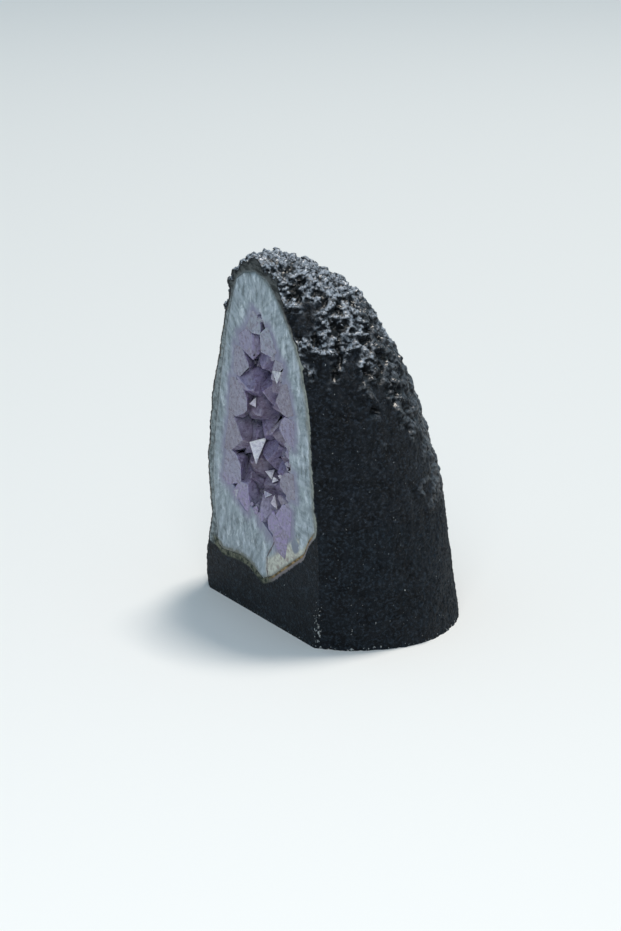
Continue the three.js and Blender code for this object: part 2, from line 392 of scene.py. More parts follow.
def drop_flaps(thing):
    """Deletes the few twin faces, and flaps hung on another face's edge, that cuts leave."""
    for _ in range(3):
        users = Counter(key for face in thing.data.polygons for key in face.edge_keys)
        twins = Counter(frozenset(face.vertices) for face in thing.data.polygons)
        pick_faces(thing, lambda face: twins[frozenset(face.vertices)] > 1 or (
            min(users[key] for key in face.edge_keys) == 1
            and max(users[key] for key in face.edge_keys) > 2
        ))
        bpy.ops.mesh.delete(type="FACE")
        leave_edit()


def linked(name, mesh):
    """A new object with this mesh, put into the scene."""
    made = bpy.data.objects.new(name, mesh)
    bpy.context.collection.objects.link(made)
    return made


def join_all(things, name):
    """Makes some objects into one, under a new name."""
    deselect_all()
    for thing in things:
        thing.select_set(True)
    bpy.context.view_layer.objects.active = things[0]
    if len(things) > 1:
        bpy.ops.object.join()
    things[0].name = name
    return things[0]


def solid_copy(name, *node_names):
    """The triangles of some CAD nodes as one new object, with their corners merged."""
    meshes = [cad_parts[node_name].data.copy() for node_name in node_names]
    made = join_all([linked(name, mesh) for mesh in meshes], name)
    made.data.materials.clear()
    pick_all(made)
    bpy.ops.mesh.remove_doubles(threshold=0.01 * MM)
    leave_edit()
    return made


def apply_modifier(thing, kind, **settings):
    """Adds a modifier to a thing and applies it at once."""
    make_active(thing)
    modifier = thing.modifiers.new(kind.lower(), kind)
    for key, value in settings.items():
        setattr(modifier, key, value)
    bpy.ops.object.modifier_apply(modifier=modifier.name)


def read_corners(thing, what="co"):
    """The places, or the normals, of all the corners of a mesh as rows of x, y and z."""
    flat = np.empty(len(thing.data.vertices) * 3, np.float32)
    thing.data.vertices.foreach_get(what, flat)
    return flat.reshape(-1, 3)


def give_mask(thing, name, values):
    """A number for each corner, which a finish can read by its name."""
    layer = thing.data.attributes.new(name, "FLOAT", "POINT")
    layer.data.foreach_set("value", np.asarray(values, np.float32))


def smooth_step(values, low, high):
    share = np.clip((values - low) / (high - low), 0, 1)
    return share * share * (3 - 2 * share)


def is_sawn(face):
    return face.normal.y < -0.99 and abs(face.center.y - FACE) < 0.05 * MM


def is_underside(face):
    return face.normal.z < -0.99 and abs(face.center.z - LOW.z) < 0.05 * MM


def count(thing):
    thing.data.calc_loop_triangles()
    return f"{thing.name}: {len(thing.data.loop_triangles)} triangles"


print("helpers for meshes are ready")

# %% [markdown]
# ## The rock and its foot
#
# The rock's skin is a crust of round knobs and deep pits at the top and down the back, and finer
# grains lower down, where it was brushed with a thin cement. Rock and foot are painted in one go,
# so no step shows between them at the side. They are therefore shaped as one body: the two solids
# are joined, pushed a little beyond the sawn face and the underside, remeshed, and covered in
# knobs by displacement. Only then does a saw, which is a boolean, cut the front and the underside
# flat, so that the knobs end at a crisp broken line, as a real cut does. Last, the body is parted
# along the seam.

# %% Join the two solids and remesh them
VOXEL = 0.93 * MM  # size of one face of the remeshed stone
ALLOWANCE = 4 * MM  # stone left for the saw to take off

stone = solid_copy("stone", "cement_foot", "rock_shell")
for wanted, shift in ((is_underside, (0, 0, -ALLOWANCE)), (is_sawn, (0, -ALLOWANCE, 0))):
    pick_faces(stone, wanted)
    bpy.ops.mesh.extrude_region_move(TRANSFORM_OT_translate={"value": shift})
    leave_edit()
apply_modifier(stone, "REMESH", mode="VOXEL", voxel_size=VOXEL, use_smooth_shade=True)
print(count(stone))

# %% [markdown]
# Three vertex groups say how strongly each kind of relief may act on a corner. The skin is what
# lies away from the quartz. Its upper part is knobbly, down to a ragged border that falls towards
# the back, and further back the knobs are lower. The rest of it is only grained.

# %% Say where the skin is knobbly and where it is only grained
places = read_corners(stone)
every = list(range(len(places)))
for name in ("skin", "knobbly", "grained"):
    stone.vertex_groups.new(name=name)
stone.vertex_groups["skin"].add(every, 1.0, "REPLACE")
apply_modifier(
    stone, "VERTEX_WEIGHT_PROXIMITY", vertex_group="skin", target=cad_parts["quartz_lining"],
    proximity_mode="GEOMETRY", proximity_geometry={"FACE"}, min_dist=1.0 * MM, max_dist=3.0 * MM,
)
skin = np.array([vertex.groups[0].weight for vertex in stone.data.vertices])

KNOBS_FROM = 192 * MM  # height where the crust begins, at the sawn face
KNOBS_FALL = 0.9  # how much lower it begins for each millimetre further back
LEFT_RISE = 0.2  # how much higher it begins for each millimetre to the left
ISLANDS = ((26, 40 * MM), (90, 34 * MM))  # wander of its border: waves in a metre, and how far
FADE = 7 * MM  # the crust fades over this much to either side of its border
LOWER_BETWEEN = (45 * MM, 95 * MM)  # depths between which the knobs lose height
LOWER_BY = 0.55  # the share of their height that they lose

depth = places[:, 1] - FACE
border = KNOBS_FROM - KNOBS_FALL * depth + LEFT_RISE * np.maximum(0, -places[:, 0])
for waves, reach in ISLANDS:
    border = border - reach * np.array([noise.noise(Vector(place) * waves) for place in places])
knobbly = smooth_step(places[:, 2] - border, -FADE, FADE) * skin
grained = skin * (1 - 0.8 * knobbly)
steep = knobbly * (1 - LOWER_BY * smooth_step(depth, *LOWER_BETWEEN))
for index in every:
    stone.vertex_groups["knobbly"].add([index], float(steep[index]), "REPLACE")
    stone.vertex_groups["grained"].add([index], float(grained[index]), "REPLACE")
print(f"{knobbly.mean():.2f} of the stone is knobbly")

# %% Cover the skin in lumps, knobs, pits and grains
def relief(thing, group, kind, size, height, middle=0.5, **settings):
    """Displaces a mesh along its normals by a cloudy or cellular texture."""
    texture = bpy.data.textures.new(f"{kind.lower()}_{size / MM:.0f}mm", kind)
    texture.noise_scale = size
    for key, value in settings.items():
        setattr(texture, key, value)
    apply_modifier(
        thing, "DISPLACE", texture=texture, texture_coords="LOCAL", strength=height,
        mid_level=middle, vertex_group=group,
    )


ROUND = {"distance_metric": "DISTANCE_SQUARED", "middle": 0.16}
PITTED = {"middle": 0.1, "contrast": 5, "intensity": 0.45}
relief(stone, "skin", "CLOUDS", 26 * MM, 1.6 * MM)
relief(stone, "knobbly", "CLOUDS", 17 * MM, 2.8 * MM, noise_depth=1)
before = read_corners(stone)  # the broad lumps are done, so only knobs and pits count as raised
outwards = read_corners(stone, "normal")
relief(stone, "knobbly", "CLOUDS", 6 * MM, 1.7 * MM, noise_depth=3)
relief(stone, "knobbly", "VORONOI", 2.4 * MM, -1.2 * MM, **ROUND)
relief(stone, "knobbly", "CLOUDS", 2.2 * MM, 2.0 * MM, noise_depth=1)
relief(stone, "knobbly", "CLOUDS", 7 * MM, -2.4 * MM, **PITTED)
relief(stone, "grained", "CLOUDS", 6 * MM, 2.0 * MM, noise_depth=3)
relief(stone, "grained", "VORONOI", 2.4 * MM, -1.2 * MM, **ROUND)
raised = ((read_corners(stone) - before) * outwards).sum(axis=1) / MM
print(f"knobs from {raised.min():.1f} to {raised.max():.1f} mm")

# %% [markdown]
# What was worked out for each corner, such as how far it was raised, would be lost when the saw
# makes new corners. So it is kept in a search tree, and given back to the nearest corner of the
# finished stone. The saw's blade is a fine grid, which leaves its cells in the sawn face. Their
# corners can then carry masks, such as how far they are from the edge.

# %% Saw the front and the underside flat
def block(name, low, high):
    """A box between two corners."""
    deselect_all()
    bpy.ops.mesh.primitive_cube_add(size=1, location=(low + high) / 2, scale=high - low)
    made = bpy.context.object
    made.name = name
    apply_place()
    return made


def cut(thing, tool, operation="DIFFERENCE", keep_tool=False):
    """Cuts a thing with a tool, or keeps only what lies inside the tool."""
    apply_modifier(thing, "BOOLEAN", object=tool, operation=operation, solver="MANIFOLD")
    if not keep_tool:
        bpy.data.objects.remove(tool)


AROUND = Vector((20 * MM, 20 * MM, 20 * MM))  # by which a tool is larger than the geode
corner_finder = KDTree(len(every))
for index, place in enumerate(read_corners(stone)):
    corner_finder.insert(place, index)
corner_finder.balance()

saw_end = Vector((HIGH.x, FACE, HIGH.z)) + Vector((1, 0, 1)) * AROUND.x
saw = block("saw", LOW - 3 * AROUND, saw_end)
pick_faces(saw, lambda face: face.normal.y > 0.9)
bpy.ops.mesh.subdivide(number_cuts=100)
leave_edit()
cut(stone, saw)
grinder_end = Vector((HIGH.x, HIGH.y, LOW.z)) + Vector((1, 1, 0)) * AROUND.x
cut(stone, block("grinder", LOW - 3 * AROUND, grinder_end))
print(count(stone))

# %% [markdown]
# The seam is read off the top of the foot's solid, given more corners and crumbled a little. A
# block below that line is then the tool for both parts: what lies inside it is the foot, and what
# is left when it is taken away is the rock, so that the two meet everywhere.

# %% Part the rock from the cement along the seam
REACH = 0.4  # metres, longer than the geode in any direction


def seam_line():
    """The seam's [x, z] from left to right, taken from the top faces of the foot's solid."""
    solid = solid_copy("foot_template", "cement_foot")
    found = set()
    for face in solid.data.polygons:
        if abs(face.normal.y) < 1e-3 and face.normal.z > 0.3:
            for index in face.vertices:
                place = solid.data.vertices[index].co
                found.add((round(place.x, 5), round(place.z, 5)))
    bpy.data.objects.remove(solid)
    return sorted(found)


def crumbled(line, step, depth):
    """A line with more corners, each moved up or down a little."""
    chance = random.Random(5)
    made = []
    for (x0, z0), (x1, z1) in zip(line, line[1:]):
        pieces = max(1, round(math.hypot(x1 - x0, z1 - z0) / step))
        for i in range(pieces):
            share = i / pieces
            shift = chance.uniform(-depth, depth)
            made.append((x0 + (x1 - x0) * share, z0 + (z1 - z0) * share + shift))
    return made + [line[-1]]


SEAM = seam_line()
outline = [(-REACH, -REACH), (REACH, -REACH), (REACH, SEAM[-1][1])]
outline += crumbled(SEAM, 2.5 * MM, 0.6 * MM)[::-1] + [(-REACH, SEAM[0][1])]
profile = bpy.data.meshes.new("below_seam")
profile.from_pydata([(x, -REACH, z) for x, z in outline], [], [range(len(outline))])
below_seam = linked("below_seam", profile)
pick_all(below_seam)
bpy.ops.mesh.extrude_region_move(TRANSFORM_OT_translate={"value": (0, 2 * REACH, 0)})
bpy.ops.mesh.select_all(action="SELECT")
bpy.ops.mesh.normals_make_consistent(inside=False)
leave_edit()

foot = linked("painted_foot", stone.data.copy())
cut(foot, below_seam, "INTERSECT", keep_tool=True)
cut(stone, below_seam)
stone.name = "painted_rock"
print(count(stone), "and", count(foot))

# %% Helpers that measure distances
def above_seam(x, z):
    """How far a place is above the seam, straight up, in millimetres."""
    across, up = zip(*SEAM)
    return (z - np.interp(x, across, up)) / MM


def tree_of(*things):
    """A search tree of the faces of some objects."""
    verts, faces = [], []
    for thing in things:
        start = len(verts)
        verts += [vertex.co.copy() for vertex in thing.data.vertices]
        faces += [[start + i for i in face.vertices] for face in thing.data.polygons]
    return BVHTree.FromPolygons(verts, faces)


def from_surface(tree, places):
    """How far each place is from the nearest face in a search tree, in millimetres."""
    return [tree.find_nearest(place)[3] / MM for place in places]


def found_again(thing):
    """A thing's corners, and for each of them the nearest corner of the stone before the saw."""
    places = read_corners(thing)
    return places, [corner_finder.find(place)[1] for place in places]


lining_tree = tree_of(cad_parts["quartz_lining"])
points_tree = tree_of(*(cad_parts[name] for name in POINT_NODES))
rock_tree = tree_of(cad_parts["rock_shell"])
print("search trees of the solids are ready")

# %% Give the masks back, thin the plain parts and crease the sawn edges
HIDDEN_KEPT = 0.12  # share of the triangles kept where the stone lies against the quartz
PLAIN_KEPT = 0.6  # share of them kept where the skin has no knobs
RIM_DEPTH = 2.5 * MM  # the skin's edge is looked for within this much of the sawn face


def thin_out(thing, wanted, ratio):
    """Leaves a share of the triangles whose corners are all wanted."""
    pick_all(thing)
    bpy.ops.mesh.select_all(action="DESELECT")
    bpy.ops.mesh.select_mode(type="VERT")
    leave_edit()
    thing.data.vertices.foreach_set("select", wanted)
    bpy.ops.object.mode_set(mode="EDIT")
    if wanted.any():
        bpy.ops.mesh.decimate(ratio=ratio)
    leave_edit()


for piece in (stone, foot):
    piece.data.materials.clear()
    piece.vertex_groups.clear()
    places, nearest = found_again(piece)
    behind = places[:, 1] > FACE + 0.5 * MM
    thin_out(piece, (skin[nearest] < 0.3) & behind, HIDDEN_KEPT)
    places, nearest = found_again(piece)
    behind = places[:, 1] > FACE + 3 * MM
    thin_out(piece, (skin[nearest] > 0.9) & (knobbly[nearest] < 0.05) & behind, PLAIN_KEPT)
    drop_flaps(piece)
    bpy.ops.object.shade_smooth()
    for wanted in (is_sawn, is_underside):
        pick_faces(piece, wanted)
        bpy.ops.mesh.region_to_loop()
        bpy.ops.mesh.mark_sharp()
        leave_edit()

    places, nearest = found_again(piece)
    depth = places[:, 1] - FACE
    edge_finder = KDTree(len(places))
    near_edge = (skin[nearest] > 0.9) & (depth > 0.2 * MM) & (depth < RIM_DEPTH)
    for index in np.flatnonzero(near_edge):
        edge_finder.insert(places[index], int(index))
    edge_finder.balance()
    give_mask(piece, "raised", raised[nearest])
    give_mask(piece, "crust", knobbly[nearest])
    give_mask(piece, "above_seam", above_seam(places[:, 0], places[:, 2]))
    give_mask(piece, "from_edge", [edge_finder.find(place)[2] / MM for place in places])
    give_mask(piece, "from_quartz", from_surface(lining_tree, places))
    print(count(piece))

# %% [markdown]
# ### Paint, bare rock and chips
#
# The paint is black and, on the crust, glossy. The upper faces of the knobs, where they turn to
# the light overhead, are given a pale grey as a painted highlight, and the paint in the pits
# between them is made blacker as painted shade. The saw went through the rock after it was
# painted, so the sawn rim is bare: brown and grey stone, olive and ochre where it was broken
# above the cement. The cement's front was painted by hand, and that paint frays over the rim.

# %% Colours of the bare rock in the sawn rim
def bare_rock(tree, place, axes):
    """The colour of the sawn stone, and a mask of where no paint covers it."""
    x, y, z = axes
    seam, edge = attribute(tree, "above_seam"), attribute(tree, "from_edge")
    blots = cloudy(tree, place, 300, detail=4, roughness=0.65)
    streaks = cloudy(tree, place, 260, detail=3, stretch=(0.5, 1, 1.6))
    leftwards = ramp(tree, x, 0, -30 * MM)

    brown = times(tree, leftwards, ramp(tree, z, 70 * MM, 100 * MM, 0.3, 0.8))
    colour = between(tree, blots, 0.36, 0.6, (74, 74, 70), (146, 144, 138))
    colour = layered(tree, colour, (brown, (112, 105, 94)))
    crystalline = between(tree, blots, 0.4, 0.6, (108, 116, 118), (160, 170, 174))
    left = times(tree, leftwards, ramp(tree, swayed(tree, edge, streaks, 3.0), 2.4, 4.0))
    colour = blend(tree, left, colour, crystalline)
    right = times(tree, ramp(tree, x, 36 * MM, 44 * MM), ramp(tree, edge, 0.6, 1.4))
    colour = layered(tree, colour, (right, (160, 164, 156)))
    dusky = between(tree, streaks, 0.4, 0.6, (52, 56, 56), (98, 102, 102))
    colour = blend(tree, ramp(tree, z, 196 * MM, 222 * MM), colour, dusky)
    inner = swayed(tree, attribute(tree, "from_quartz"), blots, 5.0)
    colour = blend(tree, ramp(tree, inner, 4.6, 2.4, 0, 0.8), colour, crystalline)

    olive = between(tree, blots, 0.4, 0.56, (46, 54, 46), (118, 120, 104))
    ochre = between(tree, streaks, 0.38, 0.58, (96, 82, 56), (176, 148, 104))
    ochre = layered(tree, ochre, (ramp(tree, seam, 2.6, 1.6), (140, 134, 136)))
    broken = blend(tree, ramp(tree, x, 8 * MM, 20 * MM), olive, ochre)
    near_seam = times(
        tree, ramp(tree, seam, 9, 5), ramp(tree, x, 66 * MM, 60 * MM),
        ramp(tree, x, -62 * MM, -54 * MM),
    )
    colour = blend(tree, near_seam, colour, broken)

    sawn = ramp(tree, y, FACE + 0.5 * MM, FACE + 0.15 * MM)
    frayed = ramp(tree, swayed(tree, seam, blots, -4.0), -2.6, -1.4)
    overspray = ramp(tree, swayed(tree, edge, streaks, -3.0), -0.6, 0.4)
    return colour, times(tree, sawn, frayed, overspray)


print("bare rock can be mixed")

# %% Finish of the rock and the foot
LIT_SIDE = (0.15, 0.1, 0.98)  # the side the overhead light comes from, nearly straight up; knobs turned to it get a painted highlight


def painted_stone(name, dark, light, gloss):
    """Black paint over stone, bare where it is sawn and pale where it is chipped."""
    material, tree, shader, place = new_finish(name)
    axes = node(tree, "ShaderNodeSeparateXYZ", Vector=place).outputs
    x, y, z = axes
    raised, crust = attribute(tree, "raised"), attribute(tree, "crust")
    grain = use_group(tree, GRAIN, Place=place, Patch_Scale=110.0, Grain_Scale=850.0, Grain_Share=0.6)
    rubble = cloudy(tree, place, 480, detail=4, roughness=0.66, stretch=(1, 1, 1.15))
    # How far a face turns towards the light overhead: it places the painted highlights, and the
    # gloss.
    normal = node(tree, "ShaderNodeNewGeometry").outputs["Normal"]
    facing = vector_maths(tree, "DOT_PRODUCT", normal, LIT_SIDE)["Value"]
    facing_light = ramp(tree, facing, 0.0, 0.75)

    # Painted highlight: the upper faces of raised knobs that face the light are made pale grey,
    # mostly high on the rock.
    higher = maths(tree, "SUBTRACT", z, 195 * MM)
    highlit_here = swayed(tree, cloudy(tree, place, 42, detail=3), higher, 5.0)
    lit_tops = times(
        tree, crust, facing_light, ramp(tree, highlit_here, 0.42, 0.56, 0.16),
        ramp(tree, raised, -1.2, 0.1), ramp(tree, rubble, 0.42, 0.55, 0.12),
    )
    # Painted highlight: raised grains below the crust that face the light are made a little lighter.
    lit_specks = times(tree, ramp(tree, raised, 0.1, 0.8), ramp(tree, crust, 0.6, 0.1, 0, 0.3), facing_light)
    # Painted shade: the paint is made blacker in the pits between the knobs.
    pit_shade = ramp(tree, raised, -0.5, -1.8, 0, 0.9)
    corner = times(
        tree, ramp(tree, x, 61 * MM, 65 * MM), ramp(tree, y, FACE + 3 * MM, FACE + MM),
        ramp(tree, z, 50 * MM, 16 * MM, 0, 0.72),
    )
    base = ramp(tree, z, 5 * MM, MM, 0, 0.6)
    knocked = maths(tree, "MAXIMUM", corner, maths(tree, "MAXIMUM", base, 0.3))
    chips = use_group(tree, CHIPS, Place=place, Scale=520.0, Amount=knocked)["Mask"]
    # The pale grey on the knobs and the lighter grains laid on here are painted highlights; the
    # blacker pits are painted shade.
    paint = layered(
        tree, as_seen(*dark), (ramp(tree, grain["Patches"], 0.3, 0.7, 0, 0.25), light),
        (ramp(tree, rubble, 0.48, 0.66), light), (lit_tops, (196, 205, 218)), (lit_specks, (90, 98, 108)),
        (pit_shade, (4, 6, 9)), (chips, (186, 190, 190)),
    )

    bare, uncovered = bare_rock(tree, place, axes)
    feed(tree, shader["Base Color"], blend(tree, uncovered, paint, bare))
    matt = maths(tree, "MAXIMUM", uncovered, chips)
    feed(tree, shader["Roughness"], ramp(tree, matt, 0, 1, gloss, 0.75))
    feed(tree, shader["Coat Weight"], times(tree, crust, facing_light))
    set_plain(shader, Coat_Roughness=0.3, Specular_IOR_Level=0.2)
    rough = swayed(tree, grain["Height"], rubble, ramp(tree, crust, 0, 1, 1.2, 2.4))
    roughen(tree, shader, rough, 0.9, 1.9)
    return material


stone.data.materials.append(painted_stone("rock_paint", (5, 8, 13), (47, 55, 65), 0.5))
foot.data.materials.append(painted_stone("cement_paint", (5, 9, 15), (44, 54, 64), 0.6))
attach(stone, "root")
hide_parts("rock_shell")
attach(foot, "root")
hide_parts("cement_foot")
print("painted:", stone.name, foot.name)

# %% [markdown]
# ## The quartz lining
#
# Quartz grew from the rock's wall towards the hollow in long fibres, side by side, which the saw
# has cut along their length: they show as pale streaks that all point at the hollow. The solid's
# shape is right, since a sawn and polished face is flat, but it has too few corners to hold the
# colours that change over it. Its front is cut into small cells by a grid of planes, and each
# corner is then given a UV place, across and along the fibres, and a few masks.

# %% Cut the front of the lining into cells
CELL = 2.2 * MM

lining = solid_copy("quartz_slab", "quartz_lining")
pick_faces(lining, is_sawn)
bpy.ops.mesh.hide(unselected=True)
low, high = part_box("quartz_lining")
for axis in (0, 2):
    along = Vector((axis == 0, 0, axis == 2))
    for step in range(1, int((high - low)[axis] / CELL)):
        bpy.ops.mesh.select_all(action="SELECT")
        bpy.ops.mesh.bisect(plane_co=low + along * step * CELL, plane_no=along)
bpy.ops.mesh.reveal(select=False)
leave_edit()
drop_flaps(lining)
print(count(lining))

# %% Say where each fibre starts and how far along it a place is
# The hollow's mouth, in millimetres across and up, to which the fibres stand upright.
MOUTH = [
    Vector(corner) * MM for corner in
    ((-37, 81), (-4, 80), (24, 60), (33, 78), (36, 118), (28, 162), (5, 207), (-24, 170), (-35, 122))
]
FAN = 26 * MM  # the fan of fibres at a bend of the mouth is measured this far out


def fibre_place(place):
    """How far round the mouth a place's fibre starts, and how far the place is from the mouth."""
    round_mouth, found = 0, []
    for i, start in enumerate(MOUTH):
        edge = MOUTH[(i + 1) % len(MOUTH)] - start
        onwards = MOUTH[(i + 2) % len(MOUTH)] - MOUTH[(i + 1) % len(MOUTH)]
        share = min(1, max(0, (place - start).dot(edge) / edge.length_squared))
        away = place - (start + share * edge)
        outwards = Vector((edge.y, -edge.x))
        turn = math.atan2(away.dot(edge), abs(away.dot(outwards)))
        found.append((away.length, round_mouth + share * edge.length + FAN * turn))
        round_mouth += edge.length + FAN * edge.angle(onwards)
    away, across = min(found)
    return across, away, round_mouth


fibres = lining.data.uv_layers.new(name="fibres")
for face in lining.data.polygons:
    middle_across, _, round_mouth = fibre_place(face.center.xz)
    for index, vertex in zip(face.loop_indices, face.vertices):
        across, away, _ = fibre_place(lining.data.vertices[vertex].co.xz)
        across += round_mouth * round((middle_across - across) / round_mouth)
        fibres.data[index].uv = (across, away)

places = read_corners(lining)
give_mask(lining, "near_points", from_surface(points_tree, places))
give_mask(lining, "near_rock", from_surface(rock_tree, places))
give_mask(lining, "above_seam", above_seam(places[:, 0], places[:, 2]))
make_active(lining)
bpy.ops.object.shade_smooth_by_angle(angle=math.radians(30))
print(f"the fibres go {round_mouth / MM:.0f} mm round the mouth")

# %% [markdown]
# ### Milky quartz, rusty quartz and a vein of purple
#
# The fibres are clouded to different degrees, so they show as streaks of grey, with frosted
# patches across them. Close to the amethyst, they turn lavender, and a narrow purple vein runs on
# downwards from the lowest points. At the lower right, water that carried iron has stained the
# quartz cream, up to a thin dark line. All of this is colour inside a polished face, so it goes
# into the finish and leaves the face flat.

# %% Streaks, drifts and a halo in the quartz
quartz, tree, shader, place = new_finish("milky_quartz")
fibre = node(tree, "ShaderNodeUVMap", uv_map="fibres").outputs[0]
streaks = cloudy(tree, fibre, 1, detail=5, roughness=0.6, stretch=(300, 60, 1))
frost = cloudy(tree, fibre, 1, detail=5, roughness=0.62, stretch=(190, 110, 1))
grain = use_group(tree, GRAIN, Place=place, Patch_Scale=45.0, Grain_Scale=420.0, Grain_Share=0.5)

# Noise moves each place by a few millimetres, so that no vein or stain has a ruled edge.
wobble = node(tree, "ShaderNodeTexNoise", Vector=place, Scale=130.0, Detail=3.0).outputs["Color"]
centred = vector_maths(tree, "SUBTRACT", wobble, (0.5, 0.5, 0.5))["Vector"]
shift = vector_maths(tree, "MULTIPLY", centred, (5 * MM, 5 * MM, 5 * MM))["Vector"]
moved = vector_maths(tree, "ADD", place, shift)["Vector"]
axes = node(tree, "ShaderNodeSeparateXYZ", Vector=moved).outputs
x, _, z = axes

drifts = cloudy(tree, moved, 250, detail=4, roughness=0.68, stretch=(1, 1, 0.36))
halo = swayed(tree, attribute(tree, "near_points"), frost, 7.0)
colour = layered(
    tree, between(tree, streaks, 0.3, 0.7, (118, 133, 141), (160, 173, 184)),
    (ramp(tree, drifts, 0.48, 0.36, 0, 0.9), (92, 106, 112)),
    (ramp(tree, drifts, 0.52, 0.66, 0, 0.9), (202, 212, 219)),
    (ramp(tree, frost, 0.5, 0.64, 0, 0.5), (180, 191, 201)),
    (ramp(tree, grain["Patches"], 0.5, 0.75, 0, 0.5), (138, 154, 158)),
    (ramp(tree, halo, 12, 4, 0, 0.85), (126, 122, 152)),
)
print(len(tree.nodes), "nodes so far in", quartz.name)

# %% The purple vein and the stained corner
def along_line(tree, axes, start, end, width):
    """A mask along a line on the sawn face, between two places given in millimetres."""
    x, _, z = axes
    run = Vector(end) - Vector(start)
    unit = run.normalized()
    east = maths(tree, "SUBTRACT", x, start[0] * MM)
    up = maths(tree, "SUBTRACT", z, start[1] * MM)
    forward = maths(tree, "ADD", times(tree, east, unit.x), times(tree, up, unit.y))
    aside = maths(tree, "SUBTRACT", times(tree, east, unit.y), times(tree, up, unit.x))
    aside = maths(tree, "ABSOLUTE", aside)
    begun = ramp(tree, forward, -MM, MM)
    not_ended = ramp(tree, forward, (run.length + 1) * MM, (run.length - 1) * MM)
    return times(tree, begun, not_ended, ramp(tree, aside, width * MM, 0.4 * width * MM))


vein = maths(
    tree, "MAXIMUM", along_line(tree, axes, (13, 83), (25, 71), 7.5),
    along_line(tree, axes, (25.5, 73), (24.5, 57), 6.0),
)
purple = between(tree, streaks, 0.4, 0.6, (100, 84, 130), (168, 158, 200))
colour = blend(tree, vein, colour, purple)
fringe = times(tree, vein, maths(tree, "SUBTRACT", 1.0, vein), ramp(tree, frost, 0.35, 0.6, 0, 3.6))
colour = layered(tree, colour, (fringe, (62, 52, 76)))

seam = attribute(tree, "above_seam")
stained = times(
    tree, ramp(tree, seam, 20, 15), ramp(tree, x, 6 * MM, 9.5 * MM),
    ramp(tree, swayed(tree, z, drifts, 30 * MM), 82 * MM, 76 * MM),
    ramp(tree, swayed(tree, z, x, -1.5), 34 * MM, 29 * MM),
)
rosy = cloudy(tree, place, 260, detail=3)
cream = layered(
    tree, between(tree, grain["Grains"], 0.36, 0.62, (164, 162, 152), (202, 204, 192)),
    (ramp(tree, rosy, 0.56, 0.66, 0, 0.6), (138, 116, 112)),
    (spot(tree, moved, 42.5, 62, 6.0), (118, 126, 142)),
)
colour = blend(tree, stained, colour, cream)
rim = maths(
    tree, "MAXIMUM", along_line(tree, axes, (9, 30), (9.5, 45), 0.9),
    along_line(tree, axes, (9.5, 45), (19, 58), 0.9),
)
colour = layered(tree, colour, (rim, (74, 60, 70)))
print(len(tree.nodes), "nodes so far in", quartz.name)

# %% The soiled border, and the finish of the quartz
mossy = times(
    tree, ramp(tree, swayed(tree, seam, rosy, -7.0), 4.5, 1.5),
    ramp(tree, x, 2 * MM, -4 * MM),
)
soiled = times(
    tree, ramp(tree, swayed(tree, attribute(tree, "near_rock"), drifts, 5.0), 5.2, 2.2),
    ramp(tree, x, -30 * MM, 0, 0.25, 0.75),
)
rind = between(tree, z, 190 * MM, 215 * MM, (134, 136, 130), (96, 102, 100))
colour = layered(tree, colour, (mossy, (84, 90, 82)))
feed(tree, shader["Base Color"], blend(tree, soiled, colour, rind))
feed(tree, shader["Roughness"], ramp(tree, streaks, 0.3, 0.7, 0.28, 0.45))
set_plain(
    shader, Specular_IOR_Level=0.4, Subsurface_Weight=0.2,
    Subsurface_Radius=(1.0, 1.0, 1.2), Subsurface_Scale=2 * MM,
)
roughen(tree, shader, swayed(tree, streaks, grain["Height"], 0.6), 0.35, 0.5)
lining.data.materials.append(quartz)
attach(lining, "root")
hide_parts("quartz_lining")
print("finished", lining.name)

# %% [markdown]
# ## The amethyst points
#
# Each large point is its own crystal. The solid has its faces in the right places, a hair short of
# its neighbours. A copy is fattened until it meets them, its faces get the low flat steps that a
# growing crystal leaves, its edges are worn round by a fraction of a millimetre, and the saw cuts
# flush whatever stands in front of the sawn face.

# %% Shape every large point
FATTEN = 0.85 * MM
STEPPED = 30 * MM * MM  # faces larger than this get growth steps
STEPS = (0.22 * MM, 0.16 * MM)  # heights of those steps
WORN = 0.16 * MM  # width of the worn edges


def saw_flush(thing, proud):
    """Cuts a closed thing off at the sawn face, or a hair in front of it."""
    pick_all(thing)
    bpy.ops.mesh.bisect(
        plane_co=(0, FACE - proud, 0), plane_no=(0, 1, 0), use_fill=True, clear_inner=True
    )
    leave_edit()


def grow_point(name, seed):
    """One large point. Each is sawn at a depth of its own, so that no two cuts share a plane."""
    chance = random.Random(seed)
    point = solid_copy(name.replace("amethyst_point", "violet_point"), name)
    pick_all(point)
    bpy.ops.mesh.dissolve_limited(angle_limit=math.radians(0.6))
    bpy.ops.mesh.select_all(action="SELECT")
    bpy.ops.transform.shrink_fatten(value=FATTEN, use_even_offset=True)
    leave_edit()
    for height in STEPS:
        pick_faces(point, lambda face: face.area > STEPPED and face.normal.y > -0.98
                   and chance.random() < 0.6)
        bpy.ops.mesh.inset(
            thickness=chance.uniform(0.7, 1.5) * MM, depth=height, use_individual=True
        )
    bpy.ops.mesh.select_all(action="SELECT")
    bpy.ops.mesh.bevel(offset=WORN, offset_type="OFFSET", segments=1, affect="EDGES")
    leave_edit()
    saw_flush(point, (0.02 + 0.0008 * seed) * MM)
    drop_flaps(point)
    return point


points = [grow_point(name, seed) for seed, name in enumerate(POINT_NODES)]
print(sum(len(point.data.polygons) for point in points), "faces on the large points")

# %% [markdown]
# Between the large points, the hollow is lined with small ones. One is modelled, a unit across,
# and copied. Rays sent out from the hollow's middle line find where the quartz still shows, and
# there a copy grows, leaning a little, with a size and a turn of its own.

